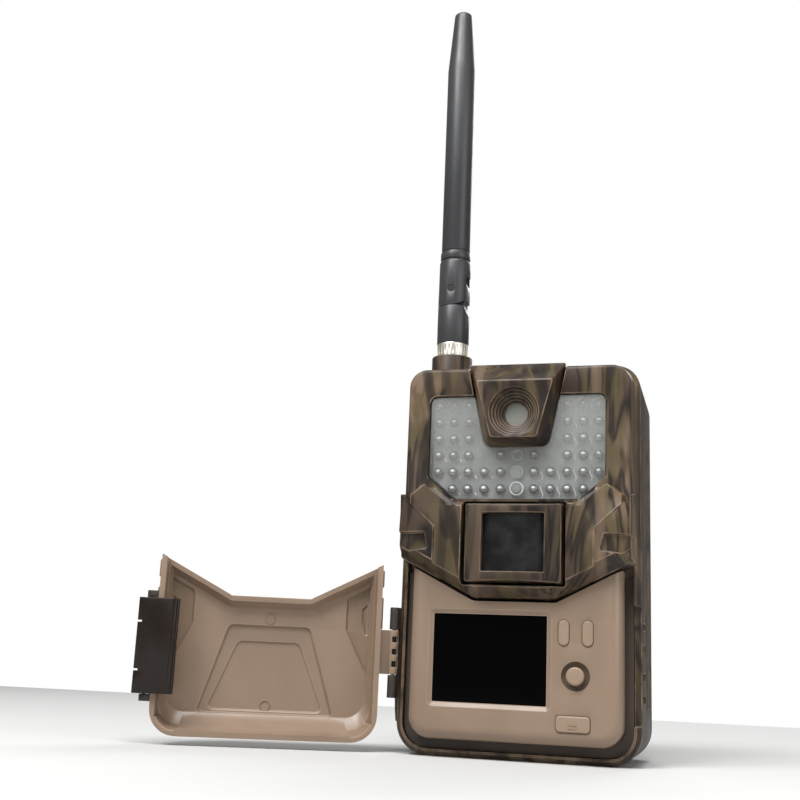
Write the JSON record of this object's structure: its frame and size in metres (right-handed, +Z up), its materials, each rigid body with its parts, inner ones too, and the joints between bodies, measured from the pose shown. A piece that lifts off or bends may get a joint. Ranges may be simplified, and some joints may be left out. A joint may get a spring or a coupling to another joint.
{
  "type": "trail camera",
  "caption": "Upright camouflaged trail camera with a side-hinged door over its panel, lamp window, motion sensor, bottom battery tray and folding antenna",
  "frame": {"origin": "mouth of the tripod thread in the middle of the bottom, on the plane the case stands on", "axes": "+Z up along the case and antenna, -Y out of the front, +X to the right as seen from the front"},
  "size_m": [0.1834, 0.1029, 0.3129],
  "materials": {
    "camo": "satin moulded plastic with a dipped brown and olive camouflage print",
    "door_plastic": "beige moulded plastic inside, the camouflage print outside",
    "panel_plastic": "fine satin beige plastic",
    "dark_plastic": "dark brown-black nylon",
    "smoked_plastic": "smoked near-black gloss plastic",
    "antenna_plastic": "satin black plastic",
    "seal_rubber": "soft black rubber",
    "window_clear": "clear moulded window in front of the lamps",
    "lens_glass": "clear glass",
    "display_black": "gloss black display glass",
    "sensor_black": "black infrared-clear plastic",
    "lamp_clear": "clear epoxy",
    "board_green": "solder mask",
    "shield_metal": "tinned sheet steel",
    "pin_steel": "drawn steel",
    "insert_brass": "turned brass",
    "nut_metal": "nickel-plated knurled nut",
    "cell_sleeve": "printed sleeve over a metal can"
  },
  "bodies": {
    "case": {"board_posts": "dark_plastic", "button_switches": "shield_metal", "camera_module": "sensor_black", "case_screws": "pin_steel", "catch_bracket": "dark_plastic", "catch_pin": "pin_steel", "control_panel": "panel_plastic", "dc_jack": "insert_brass", "door_seal": "seal_rubber", "front_seal": "seal_rubber", "front_shell": "camo", "hinge_bracket": "dark_plastic", "hinge_pin": "pin_steel", "ir_led_board": "board_green", "ir_leds": "lamp_clear", "ir_window": "window_clear", "joystick_base": "dark_plastic", "lcd_module": "display_black", "lcd_window": "display_black", "lens_hood": "camo", "lens_window": "lens_glass", "light_sensor": "lamp_clear", "main_board": "board_green", "microphone": "shield_metal", "modem_module": "shield_metal", "panel_board": "board_green", "pir_board": "board_green", "pir_frame": "camo", "pir_lens": "sensor_black", "pir_sensor": "shield_metal", "processor_shield": "shield_metal", "rear_shell": "camo", "sma_jack": "insert_brass", "strap_bracket": "camo", "tripod_insert": "insert_brass"},
    "door": {"door_shell": "door_plastic", "latch_bracket": "dark_plastic", "latch_pin": "pin_steel"},
    "latch": {"latch": "smoked_plastic"},
    "menu_button": {"menu_button": "panel_plastic"},
    "ok_button": {"ok_button": "panel_plastic"},
    "stick_ring": {"joystick_ring": "dark_plastic"},
    "stick_cup": {"joystick_cup": "dark_plastic"},
    "stick_knob": {"joystick_knob": "panel_plastic"},
    "eject_button": {"eject_button": "panel_plastic"},
    "tray_catch": {"tray_catch": "dark_plastic"},
    "battery_tray": {"battery_tray": "dark_plastic", "battery_cells": "cell_sleeve", "battery_contacts": "pin_steel", "tray_seal": "seal_rubber"},
    "antenna_base": {"antenna_base": "antenna_plastic", "antenna_pin": "pin_steel"},
    "antenna_whip": {"antenna_whip": "antenna_plastic"},
    "antenna_nut": {"antenna_nut": "nut_metal"},
    "dc_plug": {"dc_plug": "seal_rubber"}
  },
  "joints": [
    {"name": "door_hinge", "type": "hinge", "parent": "case", "child": "door", "pos_m": [-0.0477, -0.012, 0.037], "axis": [0, 0, 1], "range_deg": [0, 158]},
    {"name": "latch_pivot", "type": "hinge", "parent": "door", "child": "latch", "pos_m": [-0.1338, -0.04636, 0.0357], "axis": [0, 0, 1], "range_deg": [-90, 0]},
    {"name": "menu_press", "type": "slide", "parent": "case", "child": "menu_button", "axis": [0, 1, 0], "range_m": [0, 0.0005], "stiffness_N_per_m": 300},
    {"name": "ok_press", "type": "slide", "parent": "case", "child": "ok_button", "axis": [0, 1, 0], "range_m": [0, 0.0005], "stiffness_N_per_m": 300},
    {"name": "stick_up_down", "type": "hinge", "parent": "case", "child": "stick_ring", "pos_m": [0.02285, -0.016, 0.031], "axis": [1, 0, 0], "range_deg": [-6, 6], "stiffness_Nm_per_rad": 0.01},
    {"name": "stick_sideways", "type": "hinge", "parent": "stick_ring", "child": "stick_cup", "pos_m": [0.02285, -0.016, 0.031], "axis": [0, 0, 1], "range_deg": [-6, 6], "stiffness_Nm_per_rad": 0.01},
    {"name": "stick_press", "type": "slide", "parent": "stick_cup", "child": "stick_knob", "axis": [0, 1, 0], "range_m": [0, 0.0003], "stiffness_N_per_m": 500},
    {"name": "eject_press", "type": "slide", "parent": "case", "child": "eject_button", "axis": [0, 1, 0], "range_m": [0, 0.0018], "stiffness_N_per_m": 300},
    {"name": "catch_swing", "type": "hinge", "parent": "case", "child": "tray_catch", "pos_m": [0.022, -0.0046, 0.0193], "axis": [1, 0, 0], "range_deg": [0, 18]},
    {"name": "tray_slide", "type": "slide", "parent": "case", "child": "battery_tray", "axis": [0, 0, -1], "range_m": [0, 0.072]},
    {"name": "antenna_turn", "type": "hinge", "parent": "case", "child": "antenna_base", "pos_m": [-0.0306, -0.003, 0.165], "axis": [0, 0, 1], "range_deg": [-180, 180]},
    {"name": "antenna_fold", "type": "hinge", "parent": "antenna_base", "child": "antenna_whip", "pos_m": [-0.0306, -0.003, 0.1842], "axis": [0, 1, 0], "range_deg": [0, 90]},
    {"name": "nut_turn", "type": "hinge", "parent": "case", "child": "antenna_nut", "pos_m": [-0.0306, -0.003, 0.1585], "axis": [0, 0, 1], "continuous": true},
    {"name": "plug_pull", "type": "slide", "parent": "case", "child": "dc_plug", "axis": [0, 0, -1], "range_m": [0, 0.008]}
  ],
  "couplings": [
    {"joint": "latch_pivot", "follows": "door_hinge", "ratio": -0.56962},
    {"joint": "catch_swing", "follows": "eject_press", "rad_per_m": 160}
  ]
}
